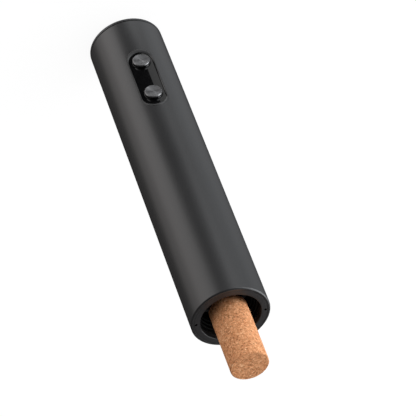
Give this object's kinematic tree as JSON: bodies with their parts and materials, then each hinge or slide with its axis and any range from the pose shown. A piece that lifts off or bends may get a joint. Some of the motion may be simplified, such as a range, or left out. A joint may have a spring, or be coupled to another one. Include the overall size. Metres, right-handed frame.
{
  "type": "electric wine opener",
  "caption": "Cordless tube-shaped wine opener with a geared motor, a cork-drawing worm, two push buttons on a glossy strip and a pressed cork in its mouth.",
  "frame": {"origin": "centre of the flat face of the closed end, which the opener stands on", "axes": "+Z along the barrel's axis, from the closed end to the mouth; the buttons face -Y"},
  "size_m": [0.0464, 0.0478, 0.2708],
  "materials": {
    "barrel": "satin dark anodised",
    "trim": "fine matt moulding",
    "inner": "smooth moulding",
    "lens": "polished",
    "button": "spun rings",
    "rubber": "matt",
    "cork": "pressed cork granules",
    "worm": "dark non-stick coating",
    "steel": "turned",
    "brass": "turned",
    "gear": "moulded nylon",
    "frame": "moulded",
    "board": "solder resist",
    "chip": "moulded resin",
    "cell": "shrink sleeve",
    "magnet": "sintered ferrite",
    "red": "lead insulation",
    "black": "lead insulation"
  },
  "bodies": {
    "housing": {"barrel": "barrel", "end_cap": "trim", "mouth_ring": "trim", "neck_guide": "inner", "neck_seal": "rubber", "cork_sleeve": "inner", "bearing_outer_race": "steel", "gearbox_cover": "steel", "ring_gear": "steel", "motor_plate": "steel", "flange_screw_1": "steel", "flange_screw_2": "steel", "flange_screw_3": "steel", "motor_screw_left": "steel", "motor_screw_right": "steel", "motor_can": "steel", "motor_end_bell": "inner", "motor_magnet": "magnet", "rear_frame": "frame", "board_carrier": "frame", "circuit_board": "board", "board_screw_upper": "steel", "board_screw_lower": "steel", "control_chip": "chip", "battery_cell": "cell", "battery_tab_positive": "steel", "battery_tab_negative": "steel", "charge_board": "board", "usb_socket": "steel", "panel_bezel": "trim", "panel_strip": "lens", "switch_draw": "chip", "switch_eject": "chip", "motor_lead_black": "black", "motor_lead_red": "red", "battery_lead_red": "red", "battery_lead_black": "black"},
    "motor_rotor": {"motor_rotor": "steel", "motor_pinion": "brass"},
    "carrier_1": {"carrier_1": "steel"},
    "carrier_2": {"carrier_2": "steel"},
    "worm_drive": {"output_spindle": "steel", "worm": "worm", "worm_pin": "steel", "bearing_inner_race": "steel"},
    "bearing_cage": {"bearing_balls": "steel"},
    "cork": {"cork": "cork"},
    "draw_button": {"button_draw": "button", "switch_plunger_draw": "trim"},
    "eject_button": {"button_eject": "button", "switch_plunger_eject": "trim"},
    "planet_1_a": {"planet_1_a": "gear"},
    "planet_1_b": {"planet_1_b": "gear"},
    "planet_1_c": {"planet_1_c": "gear"},
    "planet_2_a": {"planet_2_a": "steel"},
    "planet_2_b": {"planet_2_b": "steel"},
    "planet_2_c": {"planet_2_c": "steel"},
    "planet_3_a": {"planet_3_a": "steel"},
    "planet_3_b": {"planet_3_b": "steel"},
    "planet_3_c": {"planet_3_c": "steel"}
  },
  "joints": [
    {"name": "motor_spin", "type": "hinge", "parent": "housing", "child": "motor_rotor", "pos_m": [0, 0, 0.1], "axis": [0, 0, 1], "range_deg": [-29524.5, 131220]},
    {"name": "carrier_1_spin", "type": "hinge", "parent": "housing", "child": "carrier_1", "pos_m": [0, 0, 0.13], "axis": [0, 0, 1], "range_deg": [-6561.02, 29160.02]},
    {"name": "carrier_2_spin", "type": "hinge", "parent": "housing", "child": "carrier_2", "pos_m": [0, 0, 0.137], "axis": [0, 0, 1], "range_deg": [-1458.02, 6480.02]},
    {"name": "worm_spin", "type": "hinge", "parent": "housing", "child": "worm_drive", "pos_m": [0, 0, 0.16], "axis": [0, 0, 1], "range_deg": [-324.02, 1440.02]},
    {"name": "bearing_cage_spin", "type": "hinge", "parent": "housing", "child": "bearing_cage", "pos_m": [0, 0, 0.154], "axis": [0, 0, 1], "range_deg": [-127.07, 564.67]},
    {"name": "planet_1_a_spin", "type": "hinge", "parent": "carrier_1", "child": "planet_1_a", "pos_m": [0, 0.00675, 0.125], "axis": [0, 0, 1], "range_deg": [-81648.02, 18370.82]},
    {"name": "planet_1_b_spin", "type": "hinge", "parent": "carrier_1", "child": "planet_1_b", "pos_m": [-0.00585, -0.00337, 0.125], "axis": [0, 0, 1], "range_deg": [-81648.02, 18370.82]},
    {"name": "planet_1_c_spin", "type": "hinge", "parent": "carrier_1", "child": "planet_1_c", "pos_m": [0.00585, -0.00337, 0.125], "axis": [0, 0, 1], "range_deg": [-81648.02, 18370.82]},
    {"name": "planet_2_a_spin", "type": "hinge", "parent": "carrier_2", "child": "planet_2_a", "pos_m": [0, 0.00675, 0.1324], "axis": [0, 0, 1], "range_deg": [-18144.02, 4082.42]},
    {"name": "planet_2_b_spin", "type": "hinge", "parent": "carrier_2", "child": "planet_2_b", "pos_m": [-0.00585, -0.00337, 0.1324], "axis": [0, 0, 1], "range_deg": [-18144.02, 4082.42]},
    {"name": "planet_2_c_spin", "type": "hinge", "parent": "carrier_2", "child": "planet_2_c", "pos_m": [0.00585, -0.00337, 0.1324], "axis": [0, 0, 1], "range_deg": [-18144.02, 4082.42]},
    {"name": "planet_3_a_spin", "type": "hinge", "parent": "worm_drive", "child": "planet_3_a", "pos_m": [0, 0.00675, 0.1398], "axis": [0, 0, 1], "range_deg": [-4032.02, 907.22]},
    {"name": "planet_3_b_spin", "type": "hinge", "parent": "worm_drive", "child": "planet_3_b", "pos_m": [-0.00585, -0.00337, 0.1398], "axis": [0, 0, 1], "range_deg": [-4032.02, 907.22]},
    {"name": "planet_3_c_spin", "type": "hinge", "parent": "worm_drive", "child": "planet_3_c", "pos_m": [0.00585, -0.00337, 0.1398], "axis": [0, 0, 1], "range_deg": [-4032.02, 907.22]},
    {"name": "cork_slide", "type": "slide", "parent": "housing", "child": "cork", "axis": [0, 0, -1], "range_m": [-0.00811, 0.03601]},
    {"name": "draw_press", "type": "slide", "parent": "housing", "child": "draw_button", "axis": [0, 1, 0], "range_m": [0, 0.0006], "stiffness_N_per_m": 500, "springref_m": -0.0012},
    {"name": "eject_press", "type": "slide", "parent": "housing", "child": "eject_button", "axis": [0, 1, 0], "range_m": [0, 0.0006], "stiffness_N_per_m": 500, "springref_m": -0.0012}
  ],
  "couplings": [
    {"joint": "carrier_1_spin", "follows": "motor_spin", "ratio": 0.22222},
    {"joint": "carrier_2_spin", "follows": "motor_spin", "ratio": 0.049383},
    {"joint": "worm_spin", "follows": "motor_spin", "ratio": 0.010974},
    {"joint": "bearing_cage_spin", "follows": "motor_spin", "ratio": 0.0043031},
    {"joint": "planet_1_a_spin", "follows": "motor_spin", "ratio": -0.62222},
    {"joint": "planet_1_b_spin", "follows": "motor_spin", "ratio": -0.62222},
    {"joint": "planet_1_c_spin", "follows": "motor_spin", "ratio": -0.62222},
    {"joint": "planet_2_a_spin", "follows": "motor_spin", "ratio": -0.13827},
    {"joint": "planet_2_b_spin", "follows": "motor_spin", "ratio": -0.13827},
    {"joint": "planet_2_c_spin", "follows": "motor_spin", "ratio": -0.13827},
    {"joint": "planet_3_a_spin", "follows": "motor_spin", "ratio": -0.030727},
    {"joint": "planet_3_b_spin", "follows": "motor_spin", "ratio": -0.030727},
    {"joint": "planet_3_c_spin", "follows": "motor_spin", "ratio": -0.030727},
    {"joint": "cork_slide", "follows": "motor_spin", "m_per_rad": 0.000015719}
  ]
}
